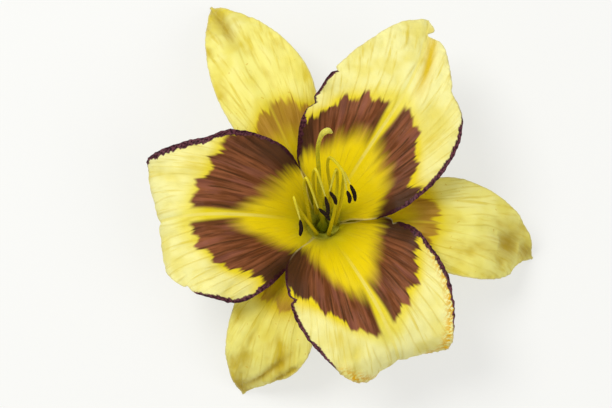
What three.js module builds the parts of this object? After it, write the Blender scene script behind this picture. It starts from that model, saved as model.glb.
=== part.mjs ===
// A daylily bloom, face up: six tepals on a short floral tube, six stamens and a pistil.
//
// Frame: millimetres, +Z up along the flower's own axis. The bloom is built around that axis and is
// then moved so that the origin lies under the middle of the whole flower, at its lowest level,
// where the tips of the three recurved sepals rest.
//
// Azimuths are degrees round +Z from +X. "Left" is the side of a tepal towards rising azimuth,
// seen from the throat, and "right" is the side towards falling azimuth.
import * as THREE from "three";

// ---- Driving dimensions, millimetres and degrees ----
const STUB_BASE_Z = 0.8; // cut end of the flower stalk
const TUBE_BASE_Z = 4.0; // where the stalk ends and the tube starts
const MOUTH_Z = 16.3; // level at which the tepals and filaments leave the tube
const TOUCH_GAP = 0.3; // clearance between pieces that grow against each other
const STALK_RADIUS = 3.1;
const TUBE_WALL = 1.1;
const PETAL_BASE_RADIUS = 6.2;
const SEPAL_BASE_RADIUS = 7.4;
const FILAMENT_BASE_RADIUS = 4.5;
const TEPAL_THICKNESS = 0.9; // along the middle of a tepal
const MARGIN_THICKNESS = 0.5; // along its margin
const LEAST_HALF_WIDTH = 0.5; // half width at the very tip, which is rounded off
const FILAMENT_RADIUS = 0.72;
const STYLE_RADIUS = 0.85;
const ANTHER_RADIUS = 0.75;
const TIP_CROWDING = 1.3; // sections stand closer together towards the tip

const COLOURS = {
  petal: 0xe9df7a,
  sepal: 0xe3d86e,
  tube: 0xb9bf45,
  stalk: 0x86a03c,
  filament: 0xc9bb1e,
  anther: 0x241a14,
  pistil: 0xc6b93a,
};

// ---- Rules shared by the tepals. Each is a list of [share of length, value] ----
const LEVEL = [[0, 0], [1, 0]];

// Slope of the midrib above the horizontal.
const PETAL_SLOPE = [[0, 68], [0.12, 54], [0.25, 40], [0.4, 25], [0.55, 8]];
const SEPAL_SLOPE = [[0, 50], [0.12, 34], [0.25, 20], [0.4, 2]];

// Half angle of the arc that a cross-section follows: 60 would close the ring of three.
const PETAL_SPREAD = [[0, 57.5], [0.12, 57.5], [0.25, 52], [0.4, 38], [0.6, 26], [0.85, 14], [1, 8]];
const SEPAL_SPREAD = [[0, 57], [0.12, 51], [0.25, 38], [0.4, 28], [0.6, 20], [0.85, 12], [1, 8]];

// Share of the arc's rise that lifts the margins off the blade, and that draws them back.
const PETAL_CUP = [[0, 0.93], [0.12, 0.8], [0.25, 0.62], [0.4, 0.35], [0.55, 0.1], [0.7, 0], [1, 0]];
const SEPAL_CUP = [[0, 0.77], [0.12, 0.56], [0.25, 0.34], [0.5, -0.2], [0.8, -0.4], [1, 0.3]];
const PETAL_FAN = [[0, 0.37], [0.12, 0.6], [0.25, 0.78], [0.4, 0.95], [0.6, 1], [0.85, 0.8], [1, 0.5]];
const FOLDED_FAN = [
  [0, 0.37], [0.12, 0.6], [0.25, 0.78], [0.4, 0.9], [0.55, 0.75], [0.7, 0.25], [0.8, 0], [1, 0],
];
const SEPAL_FAN = [[0, 0.64], [0.12, 0.78], [0.25, 0.88], [0.4, 0.95], [0.6, 1], [0.85, 0.8], [1, 0.5]];

// Turn of the blade about its midrib, which lays each right margin over its neighbour's left one.
const PETAL_ROLL = [[0, 0], [0.05, -2.5], [0.12, -5], [0.25, -7], [0.5, -4], [1, 0]];

const PETAL = {
  colour: COLOURS.petal,
  baseRadius: PETAL_BASE_RADIUS,
  sweep: LEVEL,
  spread: PETAL_SPREAD,
  cup: PETAL_CUP,
  fan: PETAL_FAN,
  roll: PETAL_ROLL,
  liftLeft: LEVEL,
  liftRight: LEVEL,
  ruffle: 1.2,
  ruffleCount: 5,
  sections: 24,
  columns: 14,
};

const SEPAL = {
  colour: COLOURS.sepal,
  baseRadius: SEPAL_BASE_RADIUS,
  sweep: LEVEL,
  spread: SEPAL_SPREAD,
  cup: SEPAL_CUP,
  fan: SEPAL_FAN,
  roll: LEVEL,
  liftLeft: LEVEL,
  liftRight: LEVEL,
  ruffle: 0.6,
  ruffleCount: 4,
  sections: 22,
  columns: 10,
};

// ---- The six tepals. left and right are half widths; bluntness rounds the tip ----
const TEPALS = {
  petal_left: {
    ...PETAL,
    azimuth: 181.5,
    length: 80,
    sweep: [[0, 0], [0.5, 1], [0.7, 6], [1, 10]],
    slope: [...PETAL_SLOPE, [0.655, -10], [0.75, -42], [0.85, -97], [1, -150]],
    fan: FOLDED_FAN,
    left: [[0, 6.2], [0.12, 11.2], [0.25, 19], [0.4, 27.5], [0.52, 32.3], [0.68, 28], [0.8, 20.5], [1, 11]],
    right: [
      [0, 6.2], [0.12, 11.2], [0.25, 21], [0.4, 28.7], [0.52, 30], [0.66, 26.5], [0.8, 23.5], [1, 14],
    ],
    liftRight: [[0, 0], [0.3, 0], [0.5, 1.5], [0.75, 1], [1, 0]],
    bluntness: [7, 0.5],
  },
  petal_upper: {
    ...PETAL,
    azimuth: 55.5,
    length: 88,
    sweep: [[0, 0], [0.5, 0], [0.72, 11], [1, 31]],
    slope: [...PETAL_SLOPE, [0.7, -8], [0.85, -22], [1, -36]],
    left: [[0, 6.2], [0.12, 11.2], [0.25, 21.5], [0.4, 26.7], [0.55, 27], [0.7, 25.5], [0.85, 21], [1, 17]],
    right: [
      [0, 6.2], [0.12, 11.2], [0.25, 20], [0.4, 26], [0.55, 27.5], [0.66, 24], [0.74, 15], [0.86, 8.5],
      [1, 2],
    ],
    bluntness: [9, 0.5],
  },
  petal_lower: {
    ...PETAL,
    azimuth: 299,
    length: 80,
    sweep: [[0, 0], [0.4, 0], [0.7, -7], [1, -10]],
    slope: [...PETAL_SLOPE, [0.65, -12], [0.75, -46], [0.85, -96], [1, -140]],
    fan: FOLDED_FAN,
    left: [[0, 6.2], [0.12, 11.2], [0.25, 21], [0.4, 27], [0.55, 28], [0.68, 25], [0.8, 20], [1, 13]],
    right: [[0, 6.2], [0.12, 11.2], [0.25, 21.5], [0.4, 27], [0.55, 28.5], [0.68, 24.5], [0.8, 18], [1, 9]],
    liftLeft: [[0, 0], [0.55, 0], [0.8, 3], [1, 1]],
    liftRight: [[0, 0], [0.55, 0], [0.8, 3], [1, 1]],
    bluntness: [7, 0.5],
  },
  sepal_upper: {
    ...SEPAL,
    azimuth: 116.4,
    length: 105.5,
    sweep: [[0, 0], [0.6, -1], [1, 5]],
    slope: [...SEPAL_SLOPE, [0.55, -19], [0.7, -37], [0.85, -50], [1, -54]],
    left: [[0, 7.3], [0.12, 9.5], [0.3, 14], [0.5, 17.5], [0.7, 16.5], [0.85, 13], [1, 8]],
    right: [[0, 7.3], [0.12, 9.5], [0.3, 15], [0.5, 20.2], [0.7, 16.8], [0.85, 12], [1, 7]],
    bluntness: [3.5, 0.9],
  },
  sepal_right: {
    ...SEPAL,
    azimuth: -3,
    length: 89.5,
    sweep: [[0, 0], [0.5, -3], [0.8, -12], [1, -46]],
    slope: [...SEPAL_SLOPE, [0.55, -20], [0.7, -42], [0.85, -57], [1, -62]],
    left: [[0, 7.3], [0.12, 9.5], [0.3, 14], [0.5, 18.5], [0.7, 17.5], [0.85, 13.5], [1, 6]],
    right: [[0, 7.3], [0.12, 9.5], [0.3, 14], [0.5, 19], [0.7, 23], [0.85, 24], [1, 17]],
    bluntness: [3.5, 0.9],
  },
  sepal_lower: {
    ...SEPAL,
    azimuth: 239,
    length: 79,
    sweep: [[0, 0], [0.5, 4], [0.8, 19], [1, 56]],
    slope: [...SEPAL_SLOPE, [0.55, -21], [0.7, -45], [0.85, -63], [1, -70]],
    left: [[0, 7.3], [0.12, 9.5], [0.3, 14], [0.5, 21], [0.7, 25], [0.85, 24], [1, 14]],
    right: [[0, 7.3], [0.12, 9.5], [0.3, 13], [0.5, 13], [0.7, 11], [0.85, 8], [1, 5]],
    bluntness: [3.5, 0.9],
  },
};

// ---- The stamens: where each filament leaves the throat, the bends it takes, its anther's far end ----
const STAMENS = [
  {
    azimuth: -1,
    path: [[6, 3.5, 38], [6.5, 8, 55], [6.6, 9.6, 60.5], [8.7, 6, 59]],
    antherEnd: [10.6, 0.9, 54],
  },
  {
    azimuth: 59,
    path: [[2.5, 7.5, 40], [1.2, 12.4, 58], [2.2, 13.4, 66], [6, 9, 66], [7.6, 3.7, 60]],
    antherEnd: [8.6, 0.1, 55],
  },
  {
    azimuth: 299,
    path: [[4, 1.5, 36], [4.6, 8.5, 52], [4, 10.8, 59], [1.9, 4.5, 54]],
    antherEnd: [4.3, 0.4, 50.5],
  },
  {
    azimuth: 119,
    path: [[-3.2, 6.5, 38], [-3.6, 9.8, 56], [-2.6, 9.8, 63.5], [0.4, 2.5, 56]],
    antherEnd: [1.4, -4.2, 51],
  },
  {
    azimuth: 179,
    path: [[-5.5, 3, 36], [-6.6, 6.8, 52], [-5.7, 7.8, 59], [-1.9, -0.6, 50]],
    antherEnd: [2.2, -4.3, 46.5],
  },
  {
    azimuth: 239,
    path: [[-5.5, -2, 32], [-9.3, 1, 48], [-10, 2.1, 54.5], [-8, -4.4, 50]],
    antherEnd: [-8, -9.6, 46],
  },
];

// The pistil, from the ovary at the foot of the tube to the hooked tip of the style.
const PISTIL_PATH = [
  [0, 0, 5.6], [0, 0, 10], [0, 0.3, 16], [-1.1, 4.6, 36], [-1.7, 10.2, 58],
  [-2.1, 15.3, 74], [-0.9, 18, 81], [0.9, 18.9, 83], [2.2, 18.6, 81.5],
];
const PISTIL_RADIUS = [
  [0, 0.8], [0.03, 2.1], [0.07, 1.7], [0.12, STYLE_RADIUS], [0.9, STYLE_RADIUS], [0.975, 0.95], [1, 0.7],
];

// ---- Geometry helpers ----

// Smooth curve through [place, value] knots, evaluated at x.
function along(knots, x) {
  const last = knots.length - 1;
  const tangent = (k) => {
    const a = knots[Math.max(k - 1, 0)];
    const b = knots[Math.min(k + 1, last)];
    return (b[1] - a[1]) / (b[0] - a[0]);
  };
  let i = 0;
  while (i < last - 1 && x > knots[i + 1][0]) i += 1;
  const [x0, y0] = knots[i];
  const [x1, y1] = knots[i + 1];
  const h = x1 - x0;
  const u = (x - x0) / h;
  const rise = (2 * u ** 3 - 3 * u ** 2 + 1) * y0 + (3 * u ** 2 - 2 * u ** 3) * y1;
  const lean = (u ** 3 - 2 * u ** 2 + u) * tangent(i) + (u ** 3 - u ** 2) * tangent(i + 1);
  return rise + h * lean;
}

// Closed solid from rings of points: each ring goes round the piece, and both ends are capped.
function ringsToSolid(rings) {
  const count = rings[0].length;
  const positions = rings.flat().flatMap((p) => [p.x, p.y, p.z]);
  const index = [];
  for (let r = 0; r < rings.length - 1; r += 1) {
    for (let k = 0; k < count; k += 1) {
      const a = r * count + k;
      const b = r * count + ((k + 1) % count);
      index.push(a, b, b + count, a, b + count, a + count);
    }
  }
  return { positions, index, count };
}

function geometryOf(positions, index) {
  const geometry = new THREE.BufferGeometry();
  geometry.setAttribute("position", new THREE.Float32BufferAttribute(positions, 3));
  geometry.setIndex(index);
  geometry.computeVertexNormals();
  return geometry;
}

// A round rod along a smooth path. radii is a list of [share of length, radius].
function rod(path, radii, steps, sides) {
  const curve = new THREE.CatmullRomCurve3(path.map((p) => new THREE.Vector3(...p)), false, "centripetal");
  const frames = curve.computeFrenetFrames(steps, false);
  const rings = [];
  for (let i = 0; i <= steps; i += 1) {
    const centre = curve.getPointAt(i / steps);
    const radius = along(radii, i / steps);
    const ring = [];
    for (let k = 0; k < sides; k += 1) {
      const angle = (2 * Math.PI * k) / sides;
      const point = centre.clone();
      point.addScaledVector(frames.normals[i], radius * Math.cos(angle));
      point.addScaledVector(frames.binormals[i], radius * Math.sin(angle));
      ring.push(point);
    }
    rings.push(ring);
  }
  const { positions, index, count } = ringsToSolid(rings);
  const capStart = positions.length / 3;
  const lastRing = steps * count;
  for (const end of [0, 1]) {
    const tip = curve.getPointAt(end);
    positions.push(tip.x, tip.y, tip.z);
  }
  for (let k = 0; k < count; k += 1) {
    const next = (k + 1) % count;
    index.push(capStart, next, k);
    index.push(capStart + 1, lastRing + k, lastRing + next);
  }
  return geometryOf(positions, index);
}

// Point on the middle surface of a tepal: t runs from base to tip, s from right (-1) to left (+1).
function tepalSurface(tepal) {
  const STEPS = 240;
  const direction = (t) => {
    const slope = THREE.MathUtils.degToRad(along(tepal.slope, t));
    const azimuth = THREE.MathUtils.degToRad(tepal.azimuth + along(tepal.sweep, t));
    return {
      forward: new THREE.Vector3(
        Math.cos(slope) * Math.cos(azimuth),
        Math.cos(slope) * Math.sin(azimuth),
        Math.sin(slope),
      ),
      aside: new THREE.Vector3(-Math.sin(azimuth), Math.cos(azimuth), 0),
    };
  };

  // The midrib, by adding up short steps along its own direction.
  const start = THREE.MathUtils.degToRad(tepal.azimuth);
  const midrib = [
    new THREE.Vector3(tepal.baseRadius * Math.cos(start), tepal.baseRadius * Math.sin(start), MOUTH_Z),
  ];
  for (let i = 0; i < STEPS; i += 1) {
    const step = direction((i + 0.5) / STEPS).forward;
    midrib.push(midrib[i].clone().addScaledVector(step, tepal.length / STEPS));
  }

  return (t, s) => {
    const place = Math.min(t, 1) * STEPS;
    const i = Math.min(Math.floor(place), STEPS - 1);
    const centre = midrib[i].clone().lerp(midrib[i + 1], place - i);
    const { forward, aside } = direction(t);
    const up = forward.clone().cross(aside);

    const [sharpness, roundness] = tepal.bluntness;
    const taper = (1 - Math.min(t, 1) ** sharpness) ** roundness;
    const halfWidth = Math.max(along(s > 0 ? tepal.left : tepal.right, t) * taper, LEAST_HALF_WIDTH);
    const spread = THREE.MathUtils.degToRad(along(tepal.spread, t));
    const radius = halfWidth / spread;
    const rise = radius * (1 - Math.cos(s * spread));
    const flatAside = radius * Math.sin(s * spread);
    const flatUp = along(tepal.cup, t) * rise;
    const back = along(tepal.fan, t) * rise;

    const roll = THREE.MathUtils.degToRad(along(tepal.roll, t));
    const x = flatAside * Math.cos(roll) - flatUp * Math.sin(roll);
    const margin = Math.abs(s) ** 3;
    const lift = along(s > 0 ? tepal.liftLeft : tepal.liftRight, t) * margin;
    const wave = Math.sin(2 * Math.PI * (tepal.ruffleCount * t + (s > 0 ? 0.25 : 0.6)));
    const ruffle = tepal.ruffle * margin * wave * Math.sin(Math.PI * Math.min(t, 1)) ** 2 * taper;
    const y = flatAside * Math.sin(roll) + flatUp * Math.cos(roll) + lift + ruffle;

    return centre.addScaledVector(aside, x).addScaledVector(up, y).addScaledVector(forward, -back);
  };
}

// A tepal as a closed shell: its upper face, its lower face and the rim between them.
function tepalGeometry(tepal) {
  const surface = tepalSurface(tepal);
  const { sections, columns } = tepal;
  const NUDGE = 1e-3;
  const rings = [];
  for (let i = 0; i <= sections; i += 1) {
    const t = 1 - (1 - i / sections) ** TIP_CROWDING;
    const upper = [];
    const lower = [];
    for (let j = 0; j <= columns; j += 1) {
      const s = (2 * j) / columns - 1;
      const here = surface(t, s);
      const t0 = Math.max(t - NUDGE, 0);
      const t1 = Math.min(t + NUDGE, 1 - NUDGE);
      const lengthwise = surface(Math.max(t1, t0 + NUDGE), s).sub(surface(Math.min(t0, t1 - NUDGE), s));
      const crosswise = surface(Math.min(t, 1 - NUDGE), Math.min(s + NUDGE, 1))
        .sub(surface(Math.min(t, 1 - NUDGE), Math.max(s - NUDGE, -1)));
      const normal = lengthwise.cross(crosswise).normalize();
      const thickness = THREE.MathUtils.lerp(TEPAL_THICKNESS, MARGIN_THICKNESS, Math.max(s * s, t ** 3));
      upper.push(here.clone().addScaledVector(normal, thickness / 2));
      lower.push(here.clone().addScaledVector(normal, -thickness / 2));
    }
    rings.push([...lower, ...upper.reverse()]);
  }
  const { positions, index, count } = ringsToSolid(rings);
  const lastRing = sections * count;
  for (let j = 0; j < columns; j += 1) {
    const opposite = count - 1 - j;
    index.push(j, opposite, opposite - 1, j, opposite - 1, j + 1);
    index.push(lastRing + j, lastRing + opposite - 1, lastRing + opposite);
    index.push(lastRing + j, lastRing + j + 1, lastRing + opposite - 1);
  }
  return geometryOf(positions, index);
}

// The tube that the tepals grow from: a hollow funnel with a closed foot.
function tubeGeometry() {
  const rim = MOUTH_Z - 2 * TOUCH_GAP;
  const mouthOuter = SEPAL_BASE_RADIUS + TEPAL_THICKNESS / 2;
  const floor = TUBE_BASE_Z + 1.2;
  const height = rim - TUBE_BASE_Z;
  const outer = [[0, STALK_RADIUS], [0.3, 3.6], [0.65, 5.2], [0.9, 7.1], [1, mouthOuter]];
  const shares = [0, 0.15, 0.3, 0.45, 0.6, 0.75, 0.9, 1];
  const outside = shares.map((u) => new THREE.Vector2(along(outer, u), TUBE_BASE_Z + u * height));
  const inside = shares
    .filter((u) => TUBE_BASE_Z + u * height > floor + 1)
    .reverse()
    .map((u) => new THREE.Vector2(along(outer, u) - TUBE_WALL - 1.2 * u * u, TUBE_BASE_Z + u * height));
  const foot = new THREE.Vector2(2.4, floor);
  const profile = [new THREE.Vector2(0, TUBE_BASE_Z), ...outside, ...inside, foot, new THREE.Vector2(0, floor)];
  return new THREE.LatheGeometry(profile, 32).rotateX(Math.PI / 2);
}

// The cut piece of stalk that stays on the flower when it is picked.
function stubGeometry() {
  const top = TUBE_BASE_Z - TOUCH_GAP;
  const profile = [
    new THREE.Vector2(0, STUB_BASE_Z),
    new THREE.Vector2(STALK_RADIUS - 0.4, STUB_BASE_Z),
    new THREE.Vector2(STALK_RADIUS - 0.1, STUB_BASE_Z + 0.4),
    new THREE.Vector2(STALK_RADIUS, top),
    new THREE.Vector2(0, top),
  ];
  return new THREE.LatheGeometry(profile, 24).rotateX(Math.PI / 2);
}

function addPiece(group, name, geometry, colour, roughness) {
  const material = new THREE.MeshStandardMaterial({ color: colour, roughness, metalness: 0 });
  const mesh = new THREE.Mesh(geometry, material);
  mesh.name = name;
  group.add(mesh);
  return mesh;
}

// ---- The flower ----
const flower = new THREE.Group();

addPiece(flower, "pedicel_stub", stubGeometry(), COLOURS.stalk, 0.6);
addPiece(flower, "floral_tube", tubeGeometry(), COLOURS.tube, 0.55);
addPiece(flower, "pistil", rod(PISTIL_PATH, PISTIL_RADIUS, 44, 10), COLOURS.pistil, 0.5);

for (const [name, tepal] of Object.entries(TEPALS)) {
  addPiece(flower, name, tepalGeometry(tepal), tepal.colour, 0.55);
}

STAMENS.forEach(({ azimuth, path, antherEnd }, i) => {
  const angle = THREE.MathUtils.degToRad(azimuth);
  const foot = [
    FILAMENT_BASE_RADIUS * Math.cos(angle),
    FILAMENT_BASE_RADIUS * Math.sin(angle),
    MOUTH_Z,
  ];
  const filamentRadii = [[0, FILAMENT_RADIUS], [0.8, FILAMENT_RADIUS], [1, 0.3]];
  addPiece(flower, `filament_${i + 1}`, rod([foot, ...path], filamentRadii, 24, 8), COLOURS.filament, 0.45);

  // The anther hangs from the filament's end and points the way the end curls.
  const filamentEnd = new THREE.Vector3(...path.at(-1));
  const far = new THREE.Vector3(...antherEnd);
  const near = filamentEnd.clone().addScaledVector(far.clone().sub(filamentEnd).normalize(), 2 * TOUCH_GAP);
  const middle = near.clone().lerp(far, 0.5).add(new THREE.Vector3(0, 0, 0.4));
  const antherRadii = [[0, 0.3], [0.15, ANTHER_RADIUS], [0.85, ANTHER_RADIUS], [1, 0.25]];
  const spine = [near.toArray(), middle.toArray(), far.toArray()];
  addPiece(flower, `anther_${i + 1}`, rod(spine, antherRadii, 10, 8), COLOURS.anther, 0.9);
});

// Bring the origin under the middle of the flower, at its lowest level.
const box = new THREE.Box3().setFromObject(flower);
const centre = box.getCenter(new THREE.Vector3());
flower.position.set(-centre.x, -centre.y, -box.min.z);

export default flower;
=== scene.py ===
# %% [markdown]
# # A daylily bloom
#
# A daylily flower has six tepals. The three inner ones, called petals here, are broad and ruffled.
# The three outer ones, called sepals here, are narrower and bend back. They grow from a short tube,
# together with six stamens and a pistil. This bloom lies face up on the tips of its sepals.
#
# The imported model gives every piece's place and size. Each cell below makes one kind of piece or
# one finish around that frame.

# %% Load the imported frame
import math

import bpy
import numpy as np
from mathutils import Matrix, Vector


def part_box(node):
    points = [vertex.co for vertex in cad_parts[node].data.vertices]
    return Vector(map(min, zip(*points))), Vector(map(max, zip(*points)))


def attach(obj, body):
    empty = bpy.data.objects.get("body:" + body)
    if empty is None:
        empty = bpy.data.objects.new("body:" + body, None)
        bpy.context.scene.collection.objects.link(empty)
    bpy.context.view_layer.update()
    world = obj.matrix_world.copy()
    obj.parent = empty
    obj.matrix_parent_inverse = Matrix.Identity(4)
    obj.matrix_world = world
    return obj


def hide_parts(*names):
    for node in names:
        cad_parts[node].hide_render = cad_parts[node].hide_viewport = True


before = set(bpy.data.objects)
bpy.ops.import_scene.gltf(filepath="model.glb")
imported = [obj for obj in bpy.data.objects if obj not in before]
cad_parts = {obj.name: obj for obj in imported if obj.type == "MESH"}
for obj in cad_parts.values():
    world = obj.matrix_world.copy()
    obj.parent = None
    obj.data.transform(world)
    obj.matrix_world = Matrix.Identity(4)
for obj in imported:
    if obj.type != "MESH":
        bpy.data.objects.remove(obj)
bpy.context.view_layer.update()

# %% [markdown]
# ## Where the flower's axis is
#
# All shapes below are worked out in millimetres round the flower's own axis, which runs up through
# the middle of the floral tube. The frame's origin is under the middle of the whole flower, so the
# axis stands a little to one side of it. The tube's box says where.

# %% Axis and units
MM = 0.001
tube_low, tube_high = (Vector(corner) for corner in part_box("floral_tube"))
AXIS = Vector(((tube_low.x + tube_high.x) / 2, (tube_low.y + tube_high.y) / 2, 0))
MOUTH_Z = 16.3  # level at which the tepals leave the tube, above the tube model's own zero
RIM_BELOW_MOUTH = 0.6
BASE_SHIFT = tube_high.z / MM + RIM_BELOW_MOUTH - MOUTH_Z  # from that zero to the frame's floor
print("axis at", [round(v / MM, 2) for v in AXIS], "mm; levels shift by", round(BASE_SHIFT, 3), "mm")


def in_frame(points):
    """Millimetres round the flower's axis, as an array of rows, to metres in the frame."""
    return (np.asarray(points, float) + [AXIS.x / MM, AXIS.y / MM, BASE_SHIFT]) * MM


# %% [markdown]
# ## Smooth rules from a few numbers
#
# A petal's slope, width and curl all change smoothly along its length. Each is written as a few
# knots, and `along` draws a smooth curve through them. Changing one knot changes the whole petal
# in a natural way, which would take hundreds of vertex moves by hand.

# %% Curve through knots
def along(knots, x):
    """Smooth curve through [place, value] knots, at every x."""
    place, value = np.array(knots, float).T
    slope = np.empty_like(value)
    slope[1:-1] = (value[2:] - value[:-2]) / (place[2:] - place[:-2])
    slope[0] = (value[1] - value[0]) / (place[1] - place[0])
    slope[-1] = (value[-1] - value[-2]) / (place[-1] - place[-2])
    x = np.asarray(x, float)
    i = np.clip(np.searchsorted(place, x, side="right") - 1, 0, len(place) - 2)
    h = place[i + 1] - place[i]
    u = (x - place[i]) / h
    rise = (2 * u**3 - 3 * u**2 + 1) * value[i] + (3 * u**2 - 2 * u**3) * value[i + 1]
    lean = (u**3 - 2 * u**2 + u) * slope[i] + (u**3 - u**2) * slope[i + 1]
    return rise + h * lean


def smoothstep(x, low, high):
    u = np.clip((x - low) / (high - low), 0, 1)
    return u * u * (3 - 2 * u)


# %% [markdown]
# ## The rules of the six tepals
#
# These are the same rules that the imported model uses, in millimetres and degrees: the midrib's
# slope and sideways sweep, the half widths to its left and right, and how far the blade is cupped.
# Here each tepal also says where its margin is stained maroon, where it is crimped, where the
# crimps are golden, and where the tissue is creased. The inner and outer edge of the eye zone are
# given as distances from the axis, from the midrib to the margin on each side. A notch is a nick in
# one margin: its side, its place along the tepal, its depth and its width. A crease is a fold from
# one point of the blade to another, with its width and depth.

# %% Tepal rules
LEVEL = [[0, 0], [1, 0]]
PETAL_SLOPE = [[0, 68], [0.12, 54], [0.25, 40], [0.4, 25], [0.55, 8]]
SEPAL_SLOPE = [[0, 50], [0.12, 34], [0.25, 20], [0.4, 2]]
FOLDED_FAN = [[0, 0.37], [0.12, 0.6], [0.25, 0.78], [0.4, 0.9], [0.55, 0.75], [0.7, 0.25], [0.8, 0], [1, 0]]

PETAL = {
    "base_radius": 6.2,
    "sweep": LEVEL,
    "spread": [[0, 57.5], [0.12, 57.5], [0.25, 52], [0.4, 38], [0.6, 26], [0.85, 14], [1, 8]],
    "cup": [[0, 0.93], [0.12, 0.8], [0.25, 0.62], [0.4, 0.35], [0.55, 0.1], [0.7, 0], [1, 0]],
    "fan": [[0, 0.37], [0.12, 0.6], [0.25, 0.78], [0.4, 0.95], [0.6, 1], [0.85, 0.8], [1, 0.5]],
    "roll": [[0, 0], [0.05, -2.5], [0.12, -5], [0.25, -7], [0.5, -4], [1, 0]],
    "lift_left": LEVEL,
    "lift_right": LEVEL,
    "gold_left": LEVEL,
    "gold_right": LEVEL,
    "creases": [],
    "notches": [],
    "rows": 300,
    "columns": 96,
    "groove": 0.7,
    "ruffle": (1.2, 5),
}
SEPAL = {
    **PETAL,
    "base_radius": 7.4,
    "spread": [[0, 57], [0.12, 51], [0.25, 38], [0.4, 28], [0.6, 20], [0.85, 12], [1, 8]],
    "cup": [[0, 0.77], [0.12, 0.56], [0.25, 0.34], [0.5, -0.2], [0.8, -0.4], [1, 0.3]],
    "fan": [[0, 0.64], [0.12, 0.78], [0.25, 0.88], [0.4, 0.95], [0.6, 1], [0.85, 0.8], [1, 0.5]],
    "roll": LEVEL,
    "inner_left": [[0, 33], [1, 24]],
    "inner_right": [[0, 33], [1, 24]],
    "outer_left": [[0, 41], [1, 35]],
    "outer_right": [[0, 41], [1, 35]],
    "rim_left": LEVEL,
    "rim_right": LEVEL,
    "crimp_left": [[0, 0], [0.4, 0.3], [0.7, 0.6], [0.95, 0.5], [1, 0]],
    "crimp_right": [[0, 0], [0.4, 0.3], [0.7, 0.6], [0.95, 0.5], [1, 0]],
    "rows": 220,
    "columns": 60,
    "groove": 0.5,
    "ruffle": (0.6, 4),
}

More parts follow.
